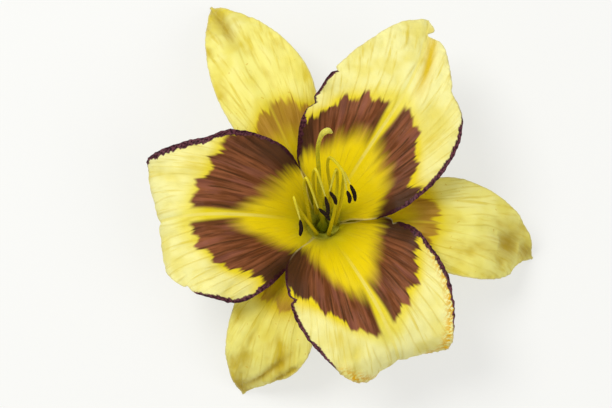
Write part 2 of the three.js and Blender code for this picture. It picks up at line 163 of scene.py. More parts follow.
TEPALS = {
    "petal_left": {
        **PETAL,
        "azimuth": 181.5,
        "length": 80,
        "sweep": [[0, 0], [0.5, 1], [0.7, 6], [1, 10]],
        "slope": PETAL_SLOPE + [[0.655, -10], [0.75, -42], [0.85, -97], [1, -150]],
        "fan": FOLDED_FAN,
        "left": [
            [0, 6.2], [0.12, 11.2], [0.25, 19], [0.4, 27.5], [0.52, 32.3], [0.68, 28],
            [0.8, 20.5], [1, 11],
        ],
        "right": [
            [0, 6.2], [0.12, 11.2], [0.25, 21], [0.4, 28.7], [0.52, 30], [0.66, 26.5],
            [0.8, 23.5], [1, 14],
        ],
        "lift_right": [[0, 0], [0.3, 0], [0.5, 1.5], [0.75, 1], [1, 0]],
        "inner_left": [[0, 31], [0.15, 28.1], [0.34, 22.5], [0.5, 19.4], [0.7, 16.5], [1, 14]],
        "inner_right": [[0, 30], [0.12, 26], [0.26, 21.7], [0.6, 19.3], [1, 19]],
        "outer_left": [[0, 48], [0.2, 46.4], [0.41, 42.8], [0.6, 38], [0.75, 33], [0.85, 31], [1, 34]],
        "outer_right": [[0, 46.5], [0.3, 43.9], [0.64, 41.5], [1, 41]],
        "bluntness": (7, 0.5),
        "notches": [("left", 0.70, 1.4, 0.012), ("right", 0.585, 1.0, 0.03)],
        "rim_left": [[0, 0], [0.22, 0], [0.3, 1.0], [0.5, 1.3], [0.62, 1.1], [0.7, 0], [1, 0]],
        "rim_right": [
            [0, 0], [0.2, 0], [0.3, 0.9], [0.45, 1.0], [0.5, 1.7], [0.72, 1.7], [0.8, 0.5],
            [0.86, 0.5], [0.9, 0], [1, 0],
        ],
        "crimp_left": [[0, 0], [0.2, 0.3], [0.4, 0.7], [0.65, 0.8], [0.8, 0.2], [1, 0]],
        "crimp_right": [[0, 0], [0.25, 0.2], [0.4, 0.8], [0.7, 1], [0.9, 0.4], [1, 0]],
    },
    "petal_upper": {
        **PETAL,
        "azimuth": 55.5,
        "length": 88,
        "sweep": [[0, 0], [0.5, 0], [0.72, 11], [1, 31]],
        "slope": PETAL_SLOPE + [[0.7, -8], [0.85, -22], [1, -36]],
        "left": [
            [0, 6.2], [0.12, 11.2], [0.25, 21.5], [0.4, 26.7], [0.55, 27], [0.7, 25.5],
            [0.85, 21], [1, 17],
        ],
        "right": [
            [0, 6.2], [0.12, 11.2], [0.25, 20], [0.4, 26], [0.55, 27.5], [0.66, 24], [0.74, 15],
            [0.86, 8.5], [1, 2],
        ],
        "inner_left": [[0, 31], [0.12, 29.5], [0.35, 28.5], [0.6, 24], [0.88, 22], [1, 19]],
        "inner_right": [[0, 31], [0.21, 27.3], [0.51, 24.6], [0.81, 19.7], [1, 17]],
        "outer_left": [[0, 47], [0.15, 45.1], [0.43, 41.8], [0.7, 38.2], [0.85, 33.4], [1, 33]],
        "outer_right": [[0, 47.5], [0.09, 46], [0.3, 43], [0.54, 38.1], [0.7, 33.8], [0.84, 31.8], [1, 35.7]],
        "bluntness": (9, 0.5),
        "notches": [
            ("left", 0.47, 1.6, 0.018), ("left", 0.635, 1.2, 0.012), ("right", 0.915, 5.5, 0.02),
            ("right", 0.72, 1.6, 0.018),
        ],
        "rim_left": [
            [0, 0], [0.2, 0.2], [0.3, 1.4], [0.4, 1.4], [0.44, 0.4], [0.5, 0.9], [0.58, 0.9],
            [0.62, 1.6], [0.64, 0], [1, 0],
        ],
        "rim_right": [
            [0, 0], [0.22, 0], [0.3, 1.0], [0.5, 1.3], [0.64, 1.1], [0.68, 0.3], [0.78, 0.2],
            [1, 0],
        ],
        "crimp_left": [[0, 0], [0.25, 0.3], [0.5, 0.5], [0.7, 0.5], [0.9, 0.3], [1, 0.2]],
        "crimp_right": [[0, 0], [0.25, 0.4], [0.5, 0.9], [0.7, 0.9], [0.9, 0.5], [1, 0.2]],
        "creases": [((0.62, -0.2), (0.97, -0.06), 2.0, -0.8)],
    },
    "petal_lower": {
        **PETAL,
        "azimuth": 299,
        "length": 80,
        "sweep": [[0, 0], [0.4, 0], [0.7, -7], [1, -10]],
        "slope": PETAL_SLOPE + [[0.65, -12], [0.75, -46], [0.85, -96], [1, -140]],
        "fan": FOLDED_FAN,
        "left": [[0, 6.2], [0.12, 11.2], [0.25, 21], [0.4, 27], [0.55, 28], [0.68, 25], [0.8, 20], [1, 13]],
        "right": [
            [0, 6.2], [0.12, 11.2], [0.25, 21.5], [0.4, 27], [0.55, 28.5], [0.68, 24.5],
            [0.8, 18], [1, 9],
        ],
        "notches": [("right", 0.425, 1.6, 0.012), ("left", 0.30, 1.4, 0.012)],
        "lift_left": [[0, 0], [0.55, 0], [0.8, 3], [1, 1]],
        "lift_right": [[0, 0], [0.55, 0], [0.8, 3], [1, 1]],
        "inner_left": [[0, 32], [0.09, 28.5], [0.46, 22.4], [0.86, 20], [1, 19]],
        "inner_right": [[0, 33], [0.14, 31.5], [0.31, 26.5], [0.4, 21.5], [0.52, 17], [0.75, 14], [1, 13]],
        "outer_left": [[0, 46], [0.11, 47], [0.36, 41.9], [0.61, 39.2], [0.81, 34.8], [1, 33]],
        "outer_right": [[0, 48], [0.16, 46.6], [0.35, 42.1], [0.54, 36.8], [0.68, 33], [0.84, 31], [1, 31]],
        "bluntness": (7, 0.5),
        "rim_left": [[0, 0], [0.3, 0], [0.34, 1.5], [0.45, 1.5], [0.6, 1.1], [0.7, 0.5], [0.8, 0], [1, 0]],
        "rim_right": [
            [0, 0], [0.25, 0.3], [0.35, 0.8], [0.5, 1.1], [0.62, 1.1], [0.68, 0.5], [0.75, 0],
            [1, 0],
        ],
        "crimp_left": [[0, 0], [0.3, 0.4], [0.45, 1], [0.65, 1.2], [0.85, 0.8], [1, 0.2]],
        "crimp_right": [[0, 0], [0.3, 0.3], [0.5, 0.7], [0.7, 1], [0.85, 0.8], [1, 0.2]],
        "gold_left": [[0, 0], [0.42, 0], [0.5, 0.9], [0.8, 1], [0.95, 0.6], [1, 0.4]],
        "gold_right": [[0, 0], [0.68, 0], [0.76, 1], [0.9, 0.8], [1, 0.4]],
    },
    "sepal_upper": {
        **SEPAL,
        "azimuth": 116.4,
        "length": 105.5,
        "sweep": [[0, 0], [0.6, -1], [1, 5]],
        "slope": SEPAL_SLOPE + [[0.55, -19], [0.7, -37], [0.85, -50], [1, -54]],
        "left": [[0, 7.3], [0.12, 9.5], [0.3, 14], [0.5, 17.5], [0.7, 16.5], [0.85, 13], [1, 8]],
        "right": [[0, 7.3], [0.12, 9.5], [0.3, 15], [0.5, 20.2], [0.7, 16.8], [0.85, 12], [1, 7]],
        "creases": [((0.66, 0.05), (1, 0.0), 2.2, -1.4), ((0.8, 0.3), (0.97, 0.25), 2.5, -0.8)],
        "outer_left": [[0, 43.5], [0.3, 41], [0.6, 37], [1, 34]],
        "outer_right": [[0, 43], [0.34, 42.8], [0.6, 39.7], [1, 37]],
        "bluntness": (3.5, 0.9),
    },
    "sepal_right": {
        **SEPAL,
        "azimuth": -3,
        "length": 89.5,
        "sweep": [[0, 0], [0.5, -3], [0.8, -12], [1, -46]],
        "slope": SEPAL_SLOPE + [[0.55, -20], [0.7, -42], [0.85, -57], [1, -62]],
        "left": [[0, 7.3], [0.12, 9.5], [0.3, 14], [0.5, 18.5], [0.7, 17.5], [0.85, 13.5], [1, 6]],
        "right": [[0, 7.3], [0.12, 9.5], [0.3, 14], [0.5, 19], [0.7, 23], [0.85, 24], [1, 17]],
        "creases": [((0.68, -0.12), (0.84, -0.02), 5.5, -1.2), ((0.84, -0.05), (1, 0), 3.0, -0.6)],
        "bluntness": (3.5, 0.9),
    },
    "sepal_lower": {
        **SEPAL,
        "azimuth": 239,
        "length": 79,
        "sweep": [[0, 0], [0.5, 4], [0.8, 19], [1, 56]],
        "slope": SEPAL_SLOPE + [[0.55, -21], [0.7, -45], [0.85, -63], [1, -70]],
        "left": [[0, 7.3], [0.12, 9.5], [0.3, 14], [0.5, 21], [0.7, 25], [0.85, 24], [1, 14]],
        "right": [[0, 7.3], [0.12, 9.5], [0.3, 13], [0.5, 13], [0.7, 11], [0.85, 8], [1, 5]],
        "creases": [
            ((0.62, 0.55), (0.93, 0.02), 1.6, -1.3),
            ((0.66, 0.75), (0.86, 0.4), 1.4, -1.0),
            ((0.85, -0.1), (1, 0), 2.5, -0.8),
        ],
        "outer_left": [[0, 36], [1, 32]],
        "outer_right": [[0, 36], [1, 32]],
        "bluntness": (3.5, 0.9),
    },
}
print(len(TEPALS), "tepals,", sum(t["length"] for t in TEPALS.values()), "mm of midrib in all")

# %% [markdown]
# ## From rule to surface
#
# The midrib is found by adding up short steps along its own slope. Each cross-section is then an
# arc that starts on the midrib. Near the throat the arc is a third of a ring, so that three petals
# close a funnel; further out it opens and lies flat.

# %% Middle surface of a tepal
LEAST_HALF_WIDTH = 0.5


def tepal_surface(tepal, t, s):
    """Middle surface at rows t (0 base, 1 tip) and columns s (-1 right margin, 1 left margin)."""
    fine = np.linspace(0, 1, 600)

    def direction(at):
        slope = np.radians(along(tepal["slope"], at))
        azimuth = np.radians(tepal["azimuth"] + along(tepal["sweep"], at))
        flat = np.cos(slope)
        forward = np.stack([flat * np.cos(azimuth), flat * np.sin(azimuth), np.sin(slope)], 1)
        aside = np.stack([-np.sin(azimuth), np.cos(azimuth), 0 * azimuth], 1)
        return forward, aside

    steps, _ = direction(fine)
    midrib = np.vstack([[0, 0, 0], np.cumsum((steps[1:] + steps[:-1]) / 2, axis=0) / (len(fine) - 1)])
    start = math.radians(tepal["azimuth"])
    foot = [tepal["base_radius"] * math.cos(start), tepal["base_radius"] * math.sin(start), MOUTH_Z]
    midrib = midrib * tepal["length"] + foot
    centre = np.stack([np.interp(t, fine, midrib[:, k]) for k in range(3)], 1)
    forward, aside = direction(t)
    up = np.cross(forward, aside)

    sharpness, roundness = tepal["bluntness"]
    taper = (1 - t**sharpness) ** roundness
    left, right = (along(tepal[key], t)[:, None] for key in ("left", "right"))
    half = np.where(s[None, :] > 0, left, right)
    for which, place, depth, width in tepal["notches"]:
        bite = depth * np.exp(-(((t - place) / width) ** 2))[:, None]
        half = half - bite * ((s[None, :] > 0) == (which == "left"))
    half = np.maximum(half * taper[:, None], LEAST_HALF_WIDTH)
    spread = np.radians(along(tepal["spread"], t))[:, None]
    radius = half / spread
    rise = radius * (1 - np.cos(s * spread))
    flat_aside = radius * np.sin(s * spread)
    flat_up = along(tepal["cup"], t)[:, None] * rise
    back = along(tepal["fan"], t)[:, None] * rise

    roll = np.radians(along(tepal["roll"], t))[:, None]
    x = flat_aside * np.cos(roll) - flat_up * np.sin(roll)
    margin = np.abs(s[None, :]) ** 3
    lift_left, lift_right = (along(tepal[key], t)[:, None] for key in ("lift_left", "lift_right"))
    lift = np.where(s[None, :] > 0, lift_left, lift_right)
    height, count = tepal["ruffle"]
    wave = np.sin(2 * np.pi * (count * t[:, None] + np.where(s[None, :] > 0, 0.25, 0.6)))
    ruffle = height * wave * (np.sin(np.pi * t) ** 2 * taper)[:, None]
    y = flat_aside * np.sin(roll) + flat_up * np.cos(roll) + (lift + ruffle) * margin

    # The midrib is a shallow groove, and a crease is a narrow fold from one place to another.
    side_mm = s[None, :] * half
    along_mm = t[:, None] * tepal["length"] + 0 * side_mm
    y = y - tepal["groove"] * np.exp(-((side_mm / 1.6) ** 2)) * smoothstep(t, 0.03, 0.2)[:, None]
    crease = 0 * side_mm
    for (t0, s0), (t1, s1), width, depth in tepal["creases"]:
        first = np.array([t0 * tepal["length"], s0 * 25])
        last = np.array([t1 * tepal["length"], s1 * 25])
        line = last - first
        share = ((along_mm - first[0]) * line[0] + (side_mm - first[1]) * line[1]) / (line @ line)
        share = np.clip(share, 0, 1)
        away = np.hypot(along_mm - first[0] - share * line[0], side_mm - first[1] - share * line[1])
        fold = np.exp(-((away / width) ** 2)) * np.sin(np.pi * np.clip(share, 0.02, 0.98)) ** 0.5
        y = y + depth * fold
        crease = np.maximum(crease, fold)

    surface = centre[:, None] + aside[:, None] * x[..., None] + up[:, None] * y[..., None]
    surface = surface - forward[:, None] * back[..., None]
    return surface, half, side_mm, along_mm, crease


# %% [markdown]
# ## A thin closed shell with its own measurements
#
# Real tissue is about half a millimetre thick and thinner at the margin. The shell is built as two
# grids joined by a rim, so it is closed and its faces point out. Each vertex also keeps what a
# botanist would measure there: the distance to the margin, the distance from the flower's axis,
# the place across the blade. The materials and the crimping read those numbers.

# %% Shell builder
THICKNESS = 0.62
MARGIN_THICKNESS = 0.34


def grid_faces(rows, columns, first, flip):
    """Quads of a grid whose vertices start at number first."""
    i, j = np.meshgrid(np.arange(rows - 1), np.arange(columns - 1), indexing="ij")
    a = first + i * columns + j
    quads = np.stack([a, a + columns, a + columns + 1, a + 1], -1).reshape(-1, 4)
    return quads[:, ::-1] if flip else quads


def strip_faces(upper, lower):
    """Quads between two equally long rows of vertex numbers."""
    upper, lower = np.asarray(upper), np.asarray(lower)
    return np.stack([upper[:-1], lower[:-1], lower[1:], upper[1:]], -1)


def put_in_scene(name, data):
    made = bpy.data.objects.new(name, data)
    bpy.context.scene.collection.objects.link(made)
    return made


def make_mesh(name, points, faces, attributes=()):
    """A smooth-shaded mesh object in the frame, from millimetres round the flower's axis."""
    mesh = bpy.data.meshes.new(name)
    mesh.from_pydata(in_frame(points).tolist(), [], [list(map(int, f)) for f in faces])
    for key, values in dict(attributes).items():
        values = np.asarray(values, np.float32)
        kind = "FLOAT_VECTOR" if values.ndim == 2 else "FLOAT"
        made = mesh.attributes.new(key, kind, "POINT")
        made.data.foreach_set("vector" if values.ndim == 2 else "value", values.ravel())
    mesh.polygons.foreach_set("use_smooth", [True] * len(mesh.polygons))
    mesh.update()
    return put_in_scene(name, mesh)


def tepal_shell(name, tepal):
    rows, columns = tepal["rows"], tepal["columns"]
    t = 1 - (1 - np.linspace(0, 1, rows)) ** 1.5
    q = np.linspace(-1, 1, columns + 1)
    s = np.sign(q) * (1 - (1 - np.abs(q)) ** 1.25)
    surface, half, side_mm, along_mm, crease = tepal_surface(tepal, t, s)
    lengthwise = np.gradient(surface, axis=0)
    crosswise = np.gradient(surface, axis=1)
    normal = np.cross(lengthwise, crosswise)
    normal /= np.linalg.norm(normal, axis=2, keepdims=True)
    outward = crosswise / np.linalg.norm(crosswise, axis=2, keepdims=True) * np.sign(s)[None, :, None]

    # Distance to the margin: sideways along the row, and lengthways to the rounded tip.
    sideways = (1 - np.abs(s))[None, :] * half
    widest = np.argmax(half[:, -1] + half[:, 0])
    lengthways = np.empty_like(sideways)
    for j in range(len(s)):
        reach = np.interp(-np.abs(side_mm[:, j]), -half[widest:, j], t[widest:])
        lengthways[:, j] = np.maximum(reach - t, 0) * tepal["length"]
    edge_mm = 1 / np.sqrt(1 / (sideways + 1e-3) ** 2 + 1 / (lengthways + 1e-3) ** 2)

    # Length along the margin, which gives crimps an even spacing.
    margin_mm = np.empty_like(sideways)
    for side in (0, -1):
        steps = np.linalg.norm(np.diff(surface[:, side], axis=0), axis=1)
        length = np.concatenate([[0], np.cumsum(steps)])
        columns_here = (s < 0) if side == 0 else (s >= 0)
        margin_mm[:, columns_here] = length[:, None] + (200 if side else 0)

    def by_side(key):
        left = along(tepal[key + "_left"], t)[:, None]
        right = along(tepal[key + "_right"], t)[:, None]
        return np.clip(np.where(s[None, :] > 0, left, right), 0, None) + 0 * side_mm

    def by_place(key):
        left, right = (along(tepal[f"{key}_{side}"], np.abs(s)) for side in ("left", "right"))
        return np.where(s > 0, left, right)[None, :] + 0 * side_mm

    from_axis = np.maximum.accumulate(np.hypot(surface[..., 0], surface[..., 1]), axis=0)
    thin = np.exp(-edge_mm / 3)
    thickness = (THICKNESS + (MARGIN_THICKNESS - THICKNESS) * thin)[..., None]
    upper = surface + normal * thickness / 2
    lower = surface - normal * thickness / 2
    measures = {
        "from_axis": from_axis,
        "side": s[None, :] + 0 * side_mm,
        "side_mm": side_mm,
        "along_mm": along_mm,
        "ray": side_mm / (along_mm + 6),
        "crease": crease,
        "eye_inner": by_place("inner"),
        "eye_outer": by_place("outer"),
        "edge_mm": edge_mm,
        "margin_mm": margin_mm,
        "rim": by_side("rim"),
        "crimp": by_side("crimp"),
        "gold": by_side("gold"),
        "lift": normal,
        "outward": outward,
    }
    attributes = {}
    for key, value in measures.items():
        flat = value.reshape(-1, 3) if value.ndim == 3 else value.ravel()
        attributes[key] = np.concatenate([flat, flat])
    count = surface.shape[0] * surface.shape[1]
    attributes["under"] = np.repeat([0.0, 1.0], count)

    across = surface.shape[1]
    number = np.arange(count).reshape(rows, across)
    faces = [
        *grid_faces(rows, across, 0, False),
        *grid_faces(rows, across, count, True),
        *strip_faces(number[0], number[0] + count)[:, ::-1],
        *strip_faces(number[-1], number[-1] + count),
        *strip_faces(number[:, 0], number[:, 0] + count),
        *strip_faces(number[:, -1], number[:, -1] + count)[:, ::-1],
    ]
    points = np.concatenate([upper.reshape(-1, 3), lower.reshape(-1, 3)])
    return make_mesh(name, points, faces, attributes)


# %% [markdown]
# ## Building node trees in code
#
# Every material and every geometry tree below is wired with the same two helpers: one adds a node
# and connects or sets its inputs, the other wraps the Math node.

# %% Node helpers
def node(tree, kind, inputs=(), **settings):
    """Adds a node. inputs maps a socket's name or number to a value or to another node's output."""
    made = tree.nodes.new(kind)
    for key, value in settings.items():
        setattr(made, key, value)
    for key, value in dict(inputs).items():
        socket = made.inputs[key]
        if isinstance(value, bpy.types.NodeSocket):
            tree.links.new(value, socket)
        else:
            socket.default_value = value
    return made


def maths(tree, operation, first, second=0.0, third=0.0):
    return node(tree, "ShaderNodeMath", {0: first, 1: second, 2: third}, operation=operation).outputs[0]


def times(tree, first, *others):
    """Product of two or more values."""
    for other in others:
        first = maths(tree, "MULTIPLY", first, other)
    return first


def between(tree, value, low, high, start=0.0, end=1.0):
    """Smooth change from start to end as value goes from low to high."""
    sockets = {0: value, 1: low, 2: high, 3: start, 4: end}
    return node(tree, "ShaderNodeMapRange", sockets, interpolation_type="SMOOTHSTEP").outputs[0]


# %% [markdown]
# ## Building and using geometry trees
#
# Three geometry trees shape the tissue, the rods and the pollen. They start with named inputs and
# end the same way, so those ends are written once. `grow` runs a tree and keeps its mesh, because
# a finished piece carries plain geometry only.

# %% Start, end and use of a geometry tree
def geometry_tree(name, inputs):
    """A new tree with its named inputs: a geometry, the given numbers and a material."""
    tree = bpy.data.node_groups.new(name, "GeometryNodeTree")

    def add(label, kind, way="INPUT"):
        return tree.interface.new_socket(label, in_out=way, socket_type="NodeSocket" + kind)

    add("Geometry", "Geometry")
    for label, value in inputs.items():
        add(label, "Int" if isinstance(value, int) else "Float").default_value = value
    add("Material", "Material")
    add("Geometry", "Geometry", "OUTPUT")
    return tree, tree.nodes.new("NodeGroupInput").outputs


def end_tree(tree, geometry, material):
    """Makes the instances real, coats the mesh and hands it out."""
    whole = node(tree, "GeometryNodeRealizeInstances", {"Geometry": geometry})
    coat = {"Geometry": whole.outputs[0], "Material": material}
    coated = node(tree, "GeometryNodeSetMaterial", coat)
    node(tree, "NodeGroupOutput", {0: coated.outputs[0]})
    print("geometry tree", tree.name, "with", len(tree.nodes), "nodes")
    return tree


def grow(piece, tree, material, **inputs):
    """Runs a geometry tree on a piece and keeps the result as its plain mesh."""
    modifier = piece.modifiers.new("grow", "NODES")
    modifier.node_group = tree
    sockets = {i.name: i.identifier for i in tree.interface.items_tree if i.in_out == "INPUT"}
    modifier[sockets["Material"]] = material
    for name, value in inputs.items():
        modifier[sockets[name.replace("_", " ")]] = value
    bpy.context.view_layer.update()
    evaluated = piece.evaluated_get(bpy.context.evaluated_depsgraph_get())
    mesh = bpy.data.meshes.new_from_object(evaluated)
    piece.modifiers.clear()
    mesh.name = piece.name
    old = piece.data
    piece.data = mesh
    bpy.data.meshes.remove(old)
    return piece


# %% [markdown]
# ## Crimps, pleats and ruffles
#
# Fresh daylily margins are crimped like the edge of a pie, and the blade has soft lengthwise
# pleats between its veins. They follow the margin, so Geometry Nodes make them: the tree reads the
# measurements that the shell carries, turns noise into a height, and moves each vertex along the
# blade's own normal. A Displace modifier could not follow the margin's length. The height is also
# kept on the mesh as `relief`, so that the tissue's material can paint a highlight on its ridges
# and shade in its hollows.

# %% Geometry tree for crimped tissue
RAGGED_REACH = 0.35 * MM  # how far a crimp pushes the outline sideways


def crimp_tree():
    tree, given = geometry_tree("crimped_tissue", {
        "Crimp height": 0.5, "Crimp length": 2.4, "Crimp reach": 1.7,
        "Ruffle height": 1.3, "Ruffle length": 13.0, "Ruffle reach": 7.0,
        "Pleat height": 0.5, "Pucker height": 0.3, "Seed": 0.0,
    })

    def measure(name, kind="FLOAT"):
        made = node(tree, "GeometryNodeInputNamedAttribute", {"Name": name}, data_type=kind)
        return made.outputs["Attribute"]

    def noise(x, y, detail=1.0):
        vector = node(tree, "ShaderNodeCombineXYZ", {0: x, 1: y, 2: given["Seed"]}).outputs[0]
        made = node(tree, "ShaderNodeTexNoise", {"Vector": vector, "Scale": 1.0, "Detail": detail})
        return times(tree, maths(tree, "SUBTRACT", made.outputs[0], 0.5), 3.2)

    edge = measure("edge_mm")
    margin = measure("margin_mm")
    crimp = measure("crimp")

    def fade(reach):
        return maths(tree, "EXPONENT", maths(tree, "DIVIDE", times(tree, edge, -1.0), reach))

    crimp_place = maths(tree, "DIVIDE", margin, given["Crimp length"])
    crimp_wave = noise(crimp_place, maths(tree, "DIVIDE", edge, 6.0))
    crimp_up = times(tree, crimp_wave, given["Crimp height"], fade(given["Crimp reach"]))
    ruffle_place = maths(tree, "DIVIDE", margin, given["Ruffle length"])
    ruffle_wave = noise(ruffle_place, 3.0)
    ruffle_up = times(tree, ruffle_wave, given["Ruffle height"], fade(given["Ruffle reach"]))
    waves = times(tree, maths(tree, "ADD", crimp_up, ruffle_up), crimp)

    # Pleats and puckers lie between the veins, which fan out like rays from the base.
    ray, run = measure("ray"), measure("along_mm")
    pleat_wave = noise(times(tree, ray, 7.0), maths(tree, "DIVIDE", run, 30.0))
    pleat_share = between(tree, run, 18.0, 50.0)
    pleat_up = times(tree, pleat_wave, given["Pleat height"], pleat_share)
    pucker_wave = noise(times(tree, ray, 19.0), maths(tree, "DIVIDE", run, 8.0), 2.0)
    pucker_share = between(tree, run, 26.0, 46.0)
    pucker_up = times(tree, pucker_wave, given["Pucker height"], pucker_share)
    soft = maths(tree, "ADD", pleat_up, pucker_up)
    height_mm = maths(tree, "ADD", waves, soft)
    height = times(tree, height_mm, MM)

    # The same crimps also push the outline in and out, which makes it ragged.
    ragged_wave = noise(times(tree, crimp_place, 1.3), 9.0)
    ragged = times(tree, ragged_wave, RAGGED_REACH, fade(given["Crimp reach"]), crimp)

    def scaled(name, amount):
        sockets = {0: measure(name, "FLOAT_VECTOR"), 3: amount}
        return node(tree, "ShaderNodeVectorMath", sockets, operation="SCALE").outputs[0]

    sockets = {0: scaled("lift", height), 1: scaled("outward", ragged)}
    both = node(tree, "ShaderNodeVectorMath", sockets, operation="ADD")
    sockets = {"Geometry": given["Geometry"], "Name": "relief", "Value": height_mm}
    kept = node(tree, "GeometryNodeStoreNamedAttribute", sockets)
    sockets = {"Geometry": kept.outputs[0], "Offset": both.outputs[0]}
    moved = node(tree, "GeometryNodeSetPosition", sockets)
    return end_tree(tree, moved.outputs[0], given["Material"])


CRIMPED = crimp_tree()


# %% [markdown]
# ## Colours
#
# The bloom is bicoloured: pale lemon blades, golden towards a green throat, with a maroon eye zone
# between. Colours are written as display values from 0 to 255 and turned into the linear values
# that the shaders expect.

# %% Colour helper
def tint(red, green, blue):
    """Linear colour with alpha, from display values 0 to 255."""
    shares = (red / 255, green / 255, blue / 255)
    linear = [v / 12.92 if v <= 0.04045 else ((v + 0.055) / 1.055) ** 2.4 for v in shares]
    return (*linear, 1.0)


def mixed(tree, share, first, second):
    """Colour mix: first where share is 0, second where it is 1."""
    return node(tree, "ShaderNodeMix", {0: share, 6: first, 7: second}, data_type="RGBA").outputs[2]


def colour_ramp(tree, value, stops):
    made = node(tree, "ShaderNodeValToRGB", {0: value})
    ramp = made.color_ramp
    while len(ramp.elements) < len(stops):
        ramp.elements.new(0.5)
    for element, (place, colour) in zip(ramp.elements, stops):
        element.position = place
        element.color = colour
    return made.outputs[0]


def new_material(name):
    made = bpy.data.materials.new(name)
    made.use_nodes = True
    made.node_tree.nodes.clear()
    return made, made.node_tree


# %% [markdown]
# ## Petal and sepal tissue
#
# Petal tissue is thin, soft and slightly moist. Light enters one face and leaves the other, which
# gives a flower its glow, so the surface mixes a Principled shader with a Translucent one. The
# pattern is drawn from the measurements on the mesh: rings of colour by distance from the axis,
# broken into teeth that follow the veins, a pale stripe on the midrib and a stained margin.

